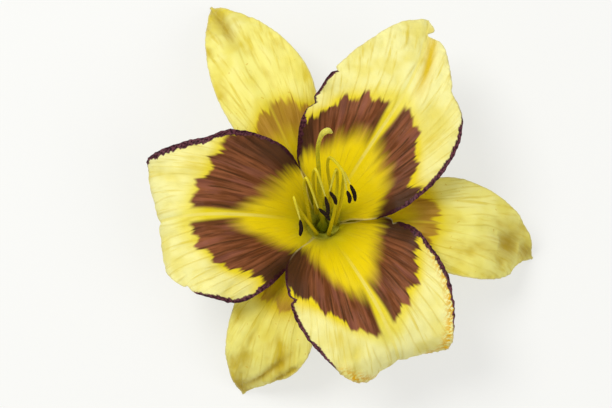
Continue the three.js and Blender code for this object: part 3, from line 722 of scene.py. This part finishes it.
# %% Tissue material
def tissue(name, throat, eye, veins, stripe, rim_colours, hollow_shade, specks, glow):
    """Tepal material.

    throat: colours by distance from the axis, in units of 100 mm; eye: colours of the eye zone,
    with the painted shade where the margins roll near the throat and that shade's strength; veins:
    how many fan out; stripe: two distances from the axis and the midrib stripe's half width at each,
    in mm; rim_colours: two colours of the stained margin; hollow shade: colour and strength of the
    painted shade in the hollows; specks: whether the blade is speckled; glow: share of light let
    through.
    """
    material, tree = new_material(name)

    def measure(key):
        return node(tree, "ShaderNodeAttribute", attribute_name=key).outputs["Fac"]

    def noise(x, y, z=0.0, detail=2.0, roughness=0.5):
        vector = node(tree, "ShaderNodeCombineXYZ", {0: x, 1: y, 2: z}).outputs[0]
        sockets = {"Vector": vector, "Scale": 1.0, "Detail": detail, "Roughness": roughness}
        return node(tree, "ShaderNodeTexNoise", sockets).outputs[0]

    side, side_mm, along_mm = measure("side"), measure("side_mm"), measure("along_mm")
    from_axis, edge, margin = measure("from_axis"), measure("edge_mm"), measure("margin_mm")
    rim, gold, under, ray = measure("rim"), measure("gold"), measure("under"), measure("ray")
    relief_mm, crease = measure("relief"), measure("crease")
    away = maths(tree, "ABSOLUTE", side)
    rib_mm = maths(tree, "ABSOLUTE", side_mm)

    # Veins fan out like rays from the base; noise bends, breaks and branches them.
    wander = noise(times(tree, ray, 5.0), times(tree, along_mm, 0.04), 5.0, 1.0)
    vein_place = maths(tree, "ADD", times(tree, ray, veins), times(tree, wander, 1.5))
    vein = maths(tree, "PINGPONG", vein_place, 0.5)
    vein = between(tree, vein, 0.15, 0.0)
    broken = noise(times(tree, ray, veins), times(tree, along_mm, 0.09), 2.0)
    vein = times(tree, vein, between(tree, broken, 0.4, 0.6))
    streak = noise(times(tree, ray, 30.0), times(tree, along_mm, 0.05), 8.0, 3.0, 0.6)
    patch = noise(times(tree, ray, 6.0), times(tree, along_mm, 0.09), 11.0)

    # Blade colour by distance from the axis: a painted cream highlight on the ridges, painted shade
    # in the hollows, and richer colour in the veins.
    blade = colour_ramp(tree, maths(tree, "DIVIDE", from_axis, 100.0), throat)
    inner, outer = measure("eye_inner"), measure("eye_outer")
    outer_share = between(tree, maths(tree, "SUBTRACT", from_axis, outer), 0.0, 7.0)
    pale_share = times(tree, outer_share, between(tree, from_axis, 92.0, 70.0, 0.0, 0.85))
    blade = mixed(tree, pale_share, blade, eye["beyond"])
    # Painted highlight: cream where the relief rises, on the ridges.
    ridge_highlight = times(tree, between(tree, relief_mm, 0.0, 0.9), outer_share)
    blade = mixed(tree, times(tree, ridge_highlight, 0.6), blade, tint(250, 246, 176))
    # Painted shade: the hollows' colour where the relief sinks.
    beyond_eye = between(tree, outer_share, 0.0, 1.0, 0.3, 1.0)
    hollow_shade_share = times(tree, between(tree, relief_mm, 0.1, -0.9), beyond_eye)
    blade = mixed(tree, times(tree, hollow_shade_share, hollow_shade[1]), blade, hollow_shade[0])
    further_out = between(tree, from_axis, 34.0, 50.0, 0.2, 0.45)
    rich = times(tree, between(tree, patch, 0.46, 0.7), further_out)
    blade = mixed(tree, rich, blade, tint(230, 214, 70))
    further_out = between(tree, from_axis, 30.0, 48.0, 0.15, 0.7)
    fine = times(tree, between(tree, streak, 0.52, 0.72), further_out)
    blade = mixed(tree, fine, blade, tint(220, 198, 44))
    blade = mixed(tree, times(tree, vein, 0.35), blade, tint(212, 186, 30))
    crinkle = noise(maths(tree, "DIVIDE", margin, 1.1), maths(tree, "DIVIDE", edge, 1.4), 3.0)
    near_edge = between(tree, edge, 4.6, 0.6)
    golden = times(tree, gold, near_edge, between(tree, crinkle, 0.42, 0.56))
    blade = mixed(tree, golden, blade, tint(228, 176, 4))
    # Painted shade: a darker ochre along each crease, where the fold lies in shade.
    crease_shade = times(tree, crease, between(tree, streak, 0.25, 0.6, 0.35, 0.9))
    blade = mixed(tree, crease_shade, blade, tint(184, 152, 2) if specks else tint(222, 190, 4))
    if specks:
        speck = noise(times(tree, side_mm, 0.55), times(tree, along_mm, 0.55), 21.0, 1.0)
        blade = mixed(tree, between(tree, speck, 0.72, 0.76, 0.0, 0.5), blade, tint(214, 172, 10))

    # The eye zone: two ring edges with teeth along the veins, parted by the pale midrib.
    tooth = noise(times(tree, ray, 14.0), times(tree, along_mm, 0.05), 30.0, 2.0)
    teeth = times(tree, maths(tree, "SUBTRACT", tooth, 0.5), 13.0)
    teeth = maths(tree, "ADD", teeth, times(tree, vein, 1.2))
    past = maths(tree, "SUBTRACT", from_axis, maths(tree, "ADD", outer, teeth))
    outside = between(tree, past, 1.1, -1.1)
    fade = maths(tree, "SUBTRACT", from_axis, maths(tree, "ADD", inner, times(tree, teeth, 0.7)))
    soft = between(tree, away, 0.35, 0.85, 5.5, 3.0)
    inside = between(tree, maths(tree, "DIVIDE", fade, soft), -1.0, 1.0)
    stripe_width = between(tree, from_axis, *stripe)
    beside = between(tree, maths(tree, "SUBTRACT", rib_mm, stripe_width), -0.6, 0.9)
    zone = times(tree, outside, inside, beside, eye["strength"])
    stain = mixed(tree, between(tree, streak, 0.36, 0.66), eye["dark"], eye["light"])
    stain = mixed(tree, between(tree, patch, 0.45, 0.7, 0.0, 0.5), stain, eye["warm"])
    stain = mixed(tree, between(tree, rib_mm, 5.0, 1.5, 0.0, 0.5), stain, eye["vein"])
    stain = mixed(tree, times(tree, vein, 0.8), stain, eye["vein"])
    # Painted shade: the eye darkens towards the margins near the throat, where they roll up into shadow.
    depth = maths(tree, "ADD", away, times(tree, maths(tree, "SUBTRACT", tooth, 0.5), 0.5))
    beside_veins = between(tree, vein, 0.5, 0.0)
    rosy = times(tree, beside_veins, between(tree, tooth, 0.5, 0.66, 0.0, 0.35))
    stain = mixed(tree, rosy, stain, eye["rose"])
    nearer = between(tree, from_axis, 42.0, 28.0, 0.3, 1.0)
    rolled_shade_share = times(tree, between(tree, depth, 0.48, 0.95, 0.0, eye["edge"]), nearer)
    stain = mixed(tree, rolled_shade_share, stain, eye["rolled_shade"])
    rib_strength = between(tree, from_axis, 12.0, 30.0, 0.0, 0.1 if specks else 0.7)
    pale_rib = times(tree, between(tree, rib_mm, 0.9, 0.3), rib_strength)
    colour = mixed(tree, pale_rib, blade, tint(242, 228, 120))
    colour = mixed(tree, zone, colour, stain)

    # The stained margin, and a thin pale edge where there is no stain.
    unstained = between(tree, rim, 0.4, 0.1, 0.0, 0.55)
    pale_edge = times(tree, between(tree, edge, 0.75, 0.2), unstained)
    colour = mixed(tree, pale_edge, colour, tint(222, 212, 150))
    blot = noise(maths(tree, "DIVIDE", margin, 0.9), maths(tree, "DIVIDE", edge, 0.8), 14.0)
    broad = noise(maths(tree, "DIVIDE", margin, 3.5), 2.0, 18.0)
    limit = times(tree, rim, between(tree, broad, 0.3, 0.65, 0.7, 1.5))
    limit = maths(tree, "ADD", limit, times(tree, maths(tree, "SUBTRACT", blot, 0.5), 1.1))
    stained = between(tree, maths(tree, "SUBTRACT", edge, limit), 0.25, -0.25)
    stained = times(tree, stained, between(tree, rim, 0.08, 0.4))
    rim_colour = mixed(tree, between(tree, blot, 0.4, 0.62), rim_colours[0], rim_colours[1])
    # Painted shade: the stained margin turns near-black near the base, where it rolls into shadow.
    rim_colour = mixed(tree, between(tree, along_mm, 36.0, 26.0, 0.0, 0.85), rim_colour, eye["rolled_shade"])
    colour = mixed(tree, stained, colour, rim_colour)

    # The underside is paler and greener, and the eye zone only shows through.
    below = mixed(tree, times(tree, zone, 0.35), tint(226, 218, 118), eye["light"])
    green_rib = between(tree, rib_mm, 3.5, 0.5, 0.0, 0.5)
    below = mixed(tree, green_rib, below, tint(172, 178, 60))
    below = mixed(tree, stained, below, rim_colour)
    colour = mixed(tree, under, colour, below)

    # Fine relief: raised veins and the small cells of the skin.
    cells = noise(times(tree, side_mm, 2.6), times(tree, along_mm, 1.3), 17.0, 2.0)
    relief = maths(tree, "ADD", times(tree, vein, 0.6), times(tree, streak, 0.9))
    relief = maths(tree, "ADD", relief, times(tree, cells, 0.35))
    bump = node(tree, "ShaderNodeBump", {"Strength": 0.45, "Distance": 0.0004, "Height": relief}).outputs[0]
    roughness = between(tree, cells, 0.3, 0.7, 0.42, 0.62)
    sockets = {
        "Base Color": colour,
        "Roughness": roughness,
        "IOR": 1.38,
        "Specular IOR Level": 0.25,
        "Sheen Weight": 0.06,
        "Sheen Roughness": 0.4,
        "Normal": bump,
    }
    skin = node(tree, "ShaderNodeBsdfPrincipled", sockets)
    through = node(tree, "ShaderNodeBsdfTranslucent", {"Color": colour, "Normal": bump})
    surface = node(tree, "ShaderNodeMixShader", {0: glow, 1: skin.outputs[0], 2: through.outputs[0]})
    node(tree, "ShaderNodeOutputMaterial", {0: surface.outputs[0]})
    print("material", name, "with", len(tree.nodes), "nodes")
    return material


# %% [markdown]
# ## The two kinds of tissue
#
# Petals carry the maroon eye zone and a clear midrib stripe. Sepals are coarser: their eye zone is
# only a tan tint, the painted shade in their hollows is a deeper ochre, and small golden specks are
# scattered over the blade.

# %% Petal and sepal colours
PETAL_BLADE = [
    (0.05, tint(176, 174, 6)),
    (0.08, tint(222, 208, 4)),
    (0.14, tint(240, 216, 2)),
    (0.26, tint(244, 218, 2)),
    (0.40, tint(238, 218, 30)),
    (0.50, tint(244, 235, 120)),
    (0.58, tint(247, 244, 178)),
    (0.75, tint(248, 245, 186)),
]
PETAL_EYE = {
    "dark": tint(94, 36, 22),
    "light": tint(150, 84, 56),
    "warm": tint(108, 48, 16),
    "vein": tint(58, 18, 12),
    "beyond": tint(248, 244, 172),
    "rose": tint(158, 92, 86),
    # Painted shade: the next colour and the edge strength darken the rolled margins near the throat.
    "rolled_shade": tint(54, 10, 18),
    "edge": 0.95,
    "strength": 0.97,
}
# The colour and strength given for the hollows are painted shade.
PETAL_TISSUE = tissue(
    "petal_tissue", PETAL_BLADE, PETAL_EYE, 15, (22, 47, 0.7, 2.4),
    (tint(52, 18, 30), tint(112, 62, 72)), (tint(222, 206, 60), 0.5), False, 0.32,
)

SEPAL_BLADE = [
    (0.06, tint(120, 130, 10)),
    (0.16, tint(216, 192, 2)),
    (0.34, tint(222, 194, 4)),
    (0.42, tint(230, 210, 30)),
    (0.49, tint(243, 234, 112)),
    (0.60, tint(246, 240, 150)),
    (0.75, tint(245, 238, 138)),
    (0.88, tint(238, 222, 70)),
]
SEPAL_EYE = {
    "dark": tint(150, 96, 30),
    "light": tint(184, 132, 60),
    "warm": tint(178, 134, 10),
    "vein": tint(140, 86, 24),
    "beyond": tint(245, 238, 136),
    "rose": tint(184, 132, 70),
    # Painted shade: the next colour and the edge strength darken the rolled margins near the throat.
    "rolled_shade": tint(176, 120, 50),
    "edge": 0.4,
    "strength": 0.8,
}
# The colour and strength given for the hollows are painted shade.
SEPAL_TISSUE = tissue(
    "sepal_tissue", SEPAL_BLADE, SEPAL_EYE, 17, (22, 47, 0.0, 0.0),
    (tint(150, 110, 30), tint(190, 150, 50)), (tint(204, 176, 16), 0.9), True, 0.32,
)

# %% [markdown]
# ## The six tepals
#
# Each tepal is built as a smooth shell and then crimped. The sepals' tips carry the bloom, and soft
# tissue that rests on something is pressed flat, so no vertex goes lower than a hair above the
# surface.

# %% Grow the six tepals
CONTACT = 0.02 * MM
for number, (name, tepal) in enumerate(TEPALS.items()):
    shell = tepal_shell(name + "_tissue", tepal)
    is_petal = name.startswith("petal")
    grow(
        shell, CRIMPED, PETAL_TISSUE if is_petal else SEPAL_TISSUE,
        Seed=7.3 * number,
        Crimp_height=0.75 if is_petal else 0.5,
        Ruffle_height=1.5 if is_petal else 0.9,
        Pleat_height=0.8,
        Pucker_height=0.45,
    )
    places = np.empty(3 * len(shell.data.vertices), np.float32)
    shell.data.vertices.foreach_get("co", places)
    places[2::3] = np.maximum(places[2::3], CONTACT)
    shell.data.vertices.foreach_set("co", places)
    shell.data.update()
    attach(shell, "root")
    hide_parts(name)
    print(shell.name, len(shell.data.polygons) * 2, "triangles")

# %% [markdown]
# ## Stamens and pistil
#
# Filaments and the style are slim rods that curve up out of the throat. A rod that follows a path
# is what Geometry Nodes do best: a line of vertices carries the radius, the tree turns it into a
# curve and sweeps a circle along it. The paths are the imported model's own.

# %% Paths
FILAMENT_FOOT = 4.5
STAMENS = [
    (-1, [[6, 3.5, 38], [6.5, 8, 55], [6.6, 9.6, 60.5], [8.7, 6, 59]], [10.6, 0.9, 54]),
    (59, [[2.5, 7.5, 40], [1.2, 12.4, 58], [2.2, 13.4, 66], [6, 9, 66], [7.6, 3.7, 60]], [8.6, 0.1, 55]),
    (299, [[4, 1.5, 36], [4.6, 8.5, 52], [4, 10.8, 59], [1.9, 4.5, 54]], [4.3, 0.4, 50.5]),
    (119, [[-3.2, 6.5, 38], [-3.6, 9.8, 56], [-2.6, 9.8, 63.5], [0.4, 2.5, 56]], [1.4, -4.2, 51]),
    (179, [[-5.5, 3, 36], [-6.6, 6.8, 52], [-5.7, 7.8, 59], [-1.9, -0.6, 50]], [2.2, -4.3, 46.5]),
    (239, [[-5.5, -2, 32], [-9.3, 1, 48], [-10, 2.1, 54.5], [-8, -4.4, 50]], [-8, -9.6, 46]),
]
PISTIL_PATH = [
    [0, 0, 5.6], [0, 0, 10], [0, 0.3, 16], [-1.1, 4.6, 36], [-1.7, 10.2, 58],
    [-2.1, 15.3, 74], [-0.9, 18, 81], [0.9, 18.9, 83], [2.2, 18.6, 81.5],
]


def smooth_path(points, count):
    """Evenly spaced points on a smooth curve through the given ones."""
    points = np.array(points, float)
    place = np.concatenate([[0], np.cumsum(np.linalg.norm(np.diff(points, axis=0), axis=1))])
    place /= place[-1]
    dense = np.linspace(0, 1, 400)
    curve = np.stack([along(np.stack([place, points[:, k]], 1), dense) for k in range(3)], 1)
    length = np.concatenate([[0], np.cumsum(np.linalg.norm(np.diff(curve, axis=0), axis=1))])
    at = np.interp(np.linspace(0, length[-1], count), length, dense)
    return np.stack([np.interp(at, dense, curve[:, k]) for k in range(3)], 1)


def line_object(name, points, radii):
    """A line of vertices in the frame that carries a radius, in metres, for the rod tree."""
    mesh = bpy.data.meshes.new(name)
    mesh.from_pydata(in_frame(points).tolist(), [(i, i + 1) for i in range(len(points) - 1)], [])
    carried = {"rod_radius": np.asarray(radii) * MM, "rod_along": np.linspace(0, 1, len(points))}
    for key, values in carried.items():
        made = mesh.attributes.new(key, "FLOAT", "POINT")
        made.data.foreach_set("value", np.asarray(values, np.float32))
    return put_in_scene(name, mesh)


# %% Geometry tree for rods
def rod_tree():
    tree, given = geometry_tree("tapered_rod", {"Sides": 14})
    curve = node(tree, "GeometryNodeMeshToCurve", {0: given["Geometry"]}).outputs[0]
    sockets = {"Resolution": given["Sides"], "Radius": 1.0}
    profile = node(tree, "GeometryNodeCurvePrimitiveCircle", sockets).outputs[0]
    named = node(tree, "GeometryNodeInputNamedAttribute", {"Name": "rod_radius"}, data_type="FLOAT")
    radius = named.outputs["Attribute"]
    sockets = {0: curve, 1: profile, "Scale": radius, "Fill Caps": True}
    swept = node(tree, "GeometryNodeCurveToMesh", sockets)
    sockets = {0: swept.outputs[0], "Shade Smooth": True}
    smooth = node(tree, "GeometryNodeSetShadeSmooth", sockets)
    return end_tree(tree, smooth.outputs[0], given["Material"])


ROD = rod_tree()


# %% Moist stalk tissue
def stalk_material(name, low, high, tip, gloss):
    """Colour runs from low at the foot over high to tip at the end, with faint lengthwise streaks."""
    material, tree = new_material(name)
    place = node(tree, "ShaderNodeAttribute", attribute_name="rod_along").outputs["Fac"]
    colour = colour_ramp(tree, place, [(0.0, low), (0.35, high), (0.86, high), (1.0, tip)])
    where = node(tree, "ShaderNodeTexCoord").outputs["Object"]
    stretched = node(tree, "ShaderNodeMapping", {0: where, 3: (1600.0, 1600.0, 240.0)}).outputs[0]
    grain = node(tree, "ShaderNodeTexNoise", {"Vector": stretched, "Scale": 1.0, "Detail": 2.0}).outputs[0]
    colour = mixed(tree, between(tree, grain, 0.42, 0.66, 0.0, 0.35), colour, low)
    bump = node(tree, "ShaderNodeBump", {"Strength": 0.3, "Distance": 0.0002, "Height": grain}).outputs[0]
    sockets = {
        "Base Color": colour,
        "Roughness": between(tree, grain, 0.3, 0.7, gloss - 0.08, gloss + 0.08),
        "IOR": 1.4,
        "Specular IOR Level": 0.45,
        "Normal": bump,
    }
    skin = node(tree, "ShaderNodeBsdfPrincipled", sockets)
    through = node(tree, "ShaderNodeBsdfTranslucent", {"Color": colour, "Normal": bump})
    surface = node(tree, "ShaderNodeMixShader", {0: 0.2, 1: skin.outputs[0], 2: through.outputs[0]})
    node(tree, "ShaderNodeOutputMaterial", {0: surface.outputs[0]})
    return material


MOIST_GLOSS = 0.34
FILAMENT_SKIN = stalk_material(
    "filament_skin", tint(206, 190, 10), tint(222, 206, 30), tint(226, 216, 90), MOIST_GLOSS,
)
PISTIL_SKIN = stalk_material(
    "pistil_skin", tint(120, 140, 20), tint(208, 194, 24), tint(224, 214, 90), MOIST_GLOSS,
)

# %% Grow the filaments and the pistil
FILAMENT_RADII = [[0, 0.85], [0.12, 0.68], [0.6, 0.56], [0.9, 0.44], [1, 0.22]]
STYLE_RADII = [
    [0, 0.8], [0.03, 2.1], [0.07, 1.7], [0.12, 0.95], [0.5, 0.8], [0.9, 0.72], [0.975, 0.98], [1, 0.5],
]
FILAMENT_ROWS, STYLE_ROWS = 110, 200
ROOTED = 1.5  # how far a filament's foot runs down inside the tube's wall

for number, (azimuth, path, _) in enumerate(STAMENS, 1):
    angle = math.radians(azimuth)
    x, y = FILAMENT_FOOT * math.cos(angle), FILAMENT_FOOT * math.sin(angle)
    points = smooth_path([[x, y, MOUTH_Z - ROOTED], [x, y, MOUTH_Z], *path], FILAMENT_ROWS)
    radii = along(FILAMENT_RADII, np.linspace(0, 1, FILAMENT_ROWS))
    filament = line_object(f"filament_{number}_rod", points, radii)
    grow(filament, ROD, FILAMENT_SKIN, Sides=14)
    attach(filament, "root")
    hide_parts(f"filament_{number}")

radii = along(STYLE_RADII, np.linspace(0, 1, STYLE_ROWS))
pistil = line_object("pistil_rod", smooth_path(PISTIL_PATH, STYLE_ROWS), radii)
grow(pistil, ROD, PISTIL_SKIN, Sides=18)
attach(pistil, "root")
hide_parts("pistil")
print("six filaments and one pistil")

# %% [markdown]
# ## Anthers
#
# An anther is a dark two-lobed pod, about six millimetres long, that hangs from its filament and
# splits along its length to shed pollen. Each is lofted from a two-lobed section that shrinks to
# both ends, and Geometry Nodes scatter pollen grains along it.

# %% Anther builder
def loft_faces(rings, sides):
    """Faces of a lofted skin: rings of vertices, then one closing vertex for each end."""
    faces = []
    for i in range(rings - 1):
        for k in range(sides):
            this, following = i * sides + k, i * sides + (k + 1) % sides
            faces.append((this, following, following + sides, this + sides))
    first, last, top = rings * sides, rings * sides + 1, (rings - 1) * sides
    for k in range(sides):
        following = (k + 1) % sides
        faces.append((first, following, k))
        faces.append((last, top + k, top + following))
    return faces


def anther_mesh(name, near, far):
    """Two-lobed pod from near to far, sagging a little in the middle of its arc."""
    near, far = np.array(near, float), np.array(far, float)
    middle = (near + far) / 2 + [0.35, 0, 0.5]
    spine = smooth_path([near, middle, far], 60)
    forward = np.gradient(spine, axis=0)
    forward /= np.linalg.norm(forward, axis=1, keepdims=True)
    aside = np.cross(forward, [0, 0, 1.0])
    aside /= np.linalg.norm(aside, axis=1, keepdims=True)
    up = np.cross(aside, forward)
    u = np.linspace(0, 1, 60)
    girth = 0.54 * np.clip(1 - np.abs(2 * u - 1) ** 3, 0, 1) ** 0.6 + 0.03
    angle = np.linspace(0, 2 * np.pi, 40, endpoint=False)
    lobes = 1 + 0.22 * np.cos(2 * angle) - 0.16 * np.exp(-(((angle - np.pi / 2) / 0.3) ** 2))
    wavy = 1 + 0.06 * np.sin(9 * u)[:, None] * np.cos(angle)[None, :]
    out = girth[:, None] * lobes[None, :] * wavy
    points = spine[:, None] + aside[:, None] * (out * np.cos(angle))[..., None]
    points = points + up[:, None] * (0.8 * out * np.sin(angle))[..., None]
    flat = np.concatenate([points.reshape(-1, 3), [spine[0], spine[-1]]])
    return make_mesh(name, flat, loft_faces(len(u), len(angle)))


def pollen_tree():
    tree, given = geometry_tree("pollen", {
        "Grains per square mm": 14.0, "Grain radius": 0.06 * MM, "Seed": 1,
    })
    density = times(tree, given["Grains per square mm"], 1 / MM**2)
    sockets = {"Mesh": given["Geometry"], "Density": density, "Seed": given["Seed"]}
    spots = node(tree, "GeometryNodeDistributePointsOnFaces", sockets)
    sockets = {"Radius": given["Grain radius"], "Subdivisions": 1}
    grain = node(tree, "GeometryNodeMeshIcoSphere", sockets)
    sockets = {2: 0.5, 3: 1.3, "Seed": given["Seed"]}
    size = node(tree, "FunctionNodeRandomValue", sockets, data_type="FLOAT")
    sockets = {"Points": spots.outputs[0], "Instance": grain.outputs[0], "Scale": size.outputs[1]}
    placed = node(tree, "GeometryNodeInstanceOnPoints", sockets)
    both = node(tree, "GeometryNodeJoinGeometry")
    tree.links.new(placed.outputs[0], both.inputs[0])
    tree.links.new(given["Geometry"], both.inputs[0])
    return end_tree(tree, both.outputs[0], given["Material"])


def anther_material():
    material, tree = new_material("anther_skin")
    where = node(tree, "ShaderNodeTexCoord").outputs["Object"]
    grain = node(tree, "ShaderNodeTexNoise", {"Vector": where, "Scale": 2600.0, "Detail": 3.0}).outputs[0]
    colour = mixed(tree, between(tree, grain, 0.45, 0.7), tint(20, 12, 8), tint(62, 40, 18))
    bump = node(tree, "ShaderNodeBump", {"Strength": 0.6, "Distance": 0.0001, "Height": grain}).outputs[0]
    skin = node(tree, "ShaderNodeBsdfPrincipled", {
        "Base Color": colour, "Roughness": 0.78, "Specular IOR Level": 0.12, "Normal": bump,
    })
    node(tree, "ShaderNodeOutputMaterial", {0: skin.outputs[0]})
    return material


# %% Grow the anthers
POLLEN = pollen_tree()
ANTHER_SKIN = anther_material()
HANG_GAP = 0.3
for number, (_, path, far) in enumerate(STAMENS, 1):
    end, far = np.array(path[-1], float), np.array(far, float)
    near = end + (far - end) / np.linalg.norm(far - end) * HANG_GAP
    anther = anther_mesh(f"anther_{number}_pod", near, far)
    grow(anther, POLLEN, ANTHER_SKIN, Seed=number)
    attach(anther, "root")
    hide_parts(f"anther_{number}")
print("six anthers")

# %% [markdown]
# ## Tube and stalk
#
# The six tepals run together into a short ribbed tube, and the tube sits on the cut stalk. Both
# are turned shapes with slight ribs, so a lofted ring mesh is enough.

# %% Ring loft
def ring_loft(name, profile, ribs, depth, sides=96):
    """A closed turned shape. profile lists (radius, height) from the axis round to the axis again."""
    profile = np.array(profile, float)
    place = np.concatenate([[0], np.cumsum(np.linalg.norm(np.diff(profile, axis=0), axis=1))])
    dense = np.unique(np.concatenate([np.linspace(0, place[-1], 90), place]))
    radius = np.interp(dense, place, profile[:, 0])
    level = np.interp(dense, place, profile[:, 1])
    angle = np.linspace(0, 2 * np.pi, sides, endpoint=False)
    rib = 1 + depth * np.cos(ribs * angle)[None, :]
    inner = radius[1:-1, None] * rib
    height = level[1:-1, None] + 0 * inner
    points = np.stack([inner * np.cos(angle), inner * np.sin(angle), height], -1)
    flat = np.concatenate([points.reshape(-1, 3), [[0, 0, level[0]], [0, 0, level[-1]]]])
    along_share = np.concatenate([np.repeat(dense[1:-1] / dense[-1], sides), [0, 1]])
    return make_mesh(name, flat, loft_faces(len(points), sides), {"rod_along": along_share})


TUBE_PROFILE = [
    (0, 4.0), (2.9, 4.0), (3.1, 4.4), (3.3, 6.5), (3.9, 9.0), (4.9, 11.5), (6.3, 14.0), (7.5, 15.6),
    (7.85, 16.3), (7.3, 16.6), (6.0, 16.2), (5.4, 15.0), (3.9, 12.0), (2.9, 9.0), (2.4, 6.2), (0, 5.4),
]
STUB_PROFILE = [
    (0, 1.0), (2.2, 0.9), (2.75, 0.8), (3.0, 1.1), (3.05, 2.4), (3.1, 3.5), (3.0, 3.8), (0, 3.8),
]
TUBE_SKIN = stalk_material(
    "tube_skin", tint(132, 158, 50), tint(204, 198, 60), tint(210, 196, 8), 0.45,
)
STALK_SKIN = stalk_material(
    "stalk_skin", tint(190, 200, 120), tint(96, 132, 50), tint(96, 132, 50), 0.5,
)
for name, node_name, profile, skin, ribs, depth in (
    ("floral_tube_wall", "floral_tube", TUBE_PROFILE, TUBE_SKIN, 6, 0.035),
    ("pedicel_stub_cut", "pedicel_stub", STUB_PROFILE, STALK_SKIN, 9, 0.02),
):
    piece = ring_loft(name, profile, ribs, depth)
    piece.data.materials.append(skin)
    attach(piece, "root")
    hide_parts(node_name)
print("tube and stub")

# %% [markdown]
# ## Floor, light and camera
#
# The bloom lies on a plain pale sheet under broad soft light, so shadows are faint and the tissue
# glows. The camera looks down on it from ten degrees off the vertical.

# %% Floor
FLOOR_HALF = 3.0
floor_mesh = bpy.data.meshes.new("floor")
corners = [(x * FLOOR_HALF, y * FLOOR_HALF, 0) for x, y in ((-1, -1), (1, -1), (1, 1), (-1, 1))]
floor_mesh.from_pydata(corners, [], [(0, 1, 2, 3)])
floor = put_in_scene("floor", floor_mesh)
floor_material, tree = new_material("pale_floor")
sheet = node(tree, "ShaderNodeBsdfPrincipled", {
    "Base Color": (0.25, 0.25, 0.24, 1), "Roughness": 0.9, "Specular IOR Level": 0.1,
    "Emission Color": (1.0, 1.0, 0.98, 1), "Emission Strength": 0.63,
})
node(tree, "ShaderNodeOutputMaterial", {0: sheet.outputs[0]})
floor_mesh.materials.append(floor_material)

# %% Light
world = bpy.data.worlds.new("soft_room")
bpy.context.scene.world = world
world.use_nodes = True
world.node_tree.nodes["Background"].inputs[0].default_value = (1.0, 1.0, 1.0, 1)
world.node_tree.nodes["Background"].inputs[1].default_value = 0.5


def soft_light(name, place, size, watts, towards=(0, 0, 0.03)):
    data = bpy.data.lights.new(name, "AREA")
    data.shape = "DISK"
    data.size = size
    data.energy = watts
    made = put_in_scene(name, data)
    made.location = place
    made.rotation_euler = (Vector(towards) - Vector(place)).to_track_quat("-Z", "Y").to_euler()


soft_light("key_light", (-0.55, 0.35, 1.1), 0.6, 12.0)
soft_light("fill_light", (0.7, -0.4, 1.0), 0.9, 4.0)

# %% Camera
LENS, SENSOR = 100.0, 36.0
ELEVATION = math.radians(80)
DISTANCE = 0.595
aim = Vector((AXIS.x - 6.0 * MM, AXIS.y + 4.3 * MM, (30 + BASE_SHIFT) * MM))
camera_data = bpy.data.cameras.new("camera")
camera_data.lens = LENS
camera_data.sensor_width = SENSOR
camera_data.clip_start, camera_data.clip_end = 0.01, 20.0
camera = put_in_scene("camera", camera_data)
camera.location = aim + DISTANCE * Vector((0, -math.cos(ELEVATION), math.sin(ELEVATION)))
camera.rotation_euler = (aim - camera.location).to_track_quat("-Z", "Y").to_euler()
bpy.context.scene.camera = camera
bpy.context.scene.view_settings.view_transform = "Standard"
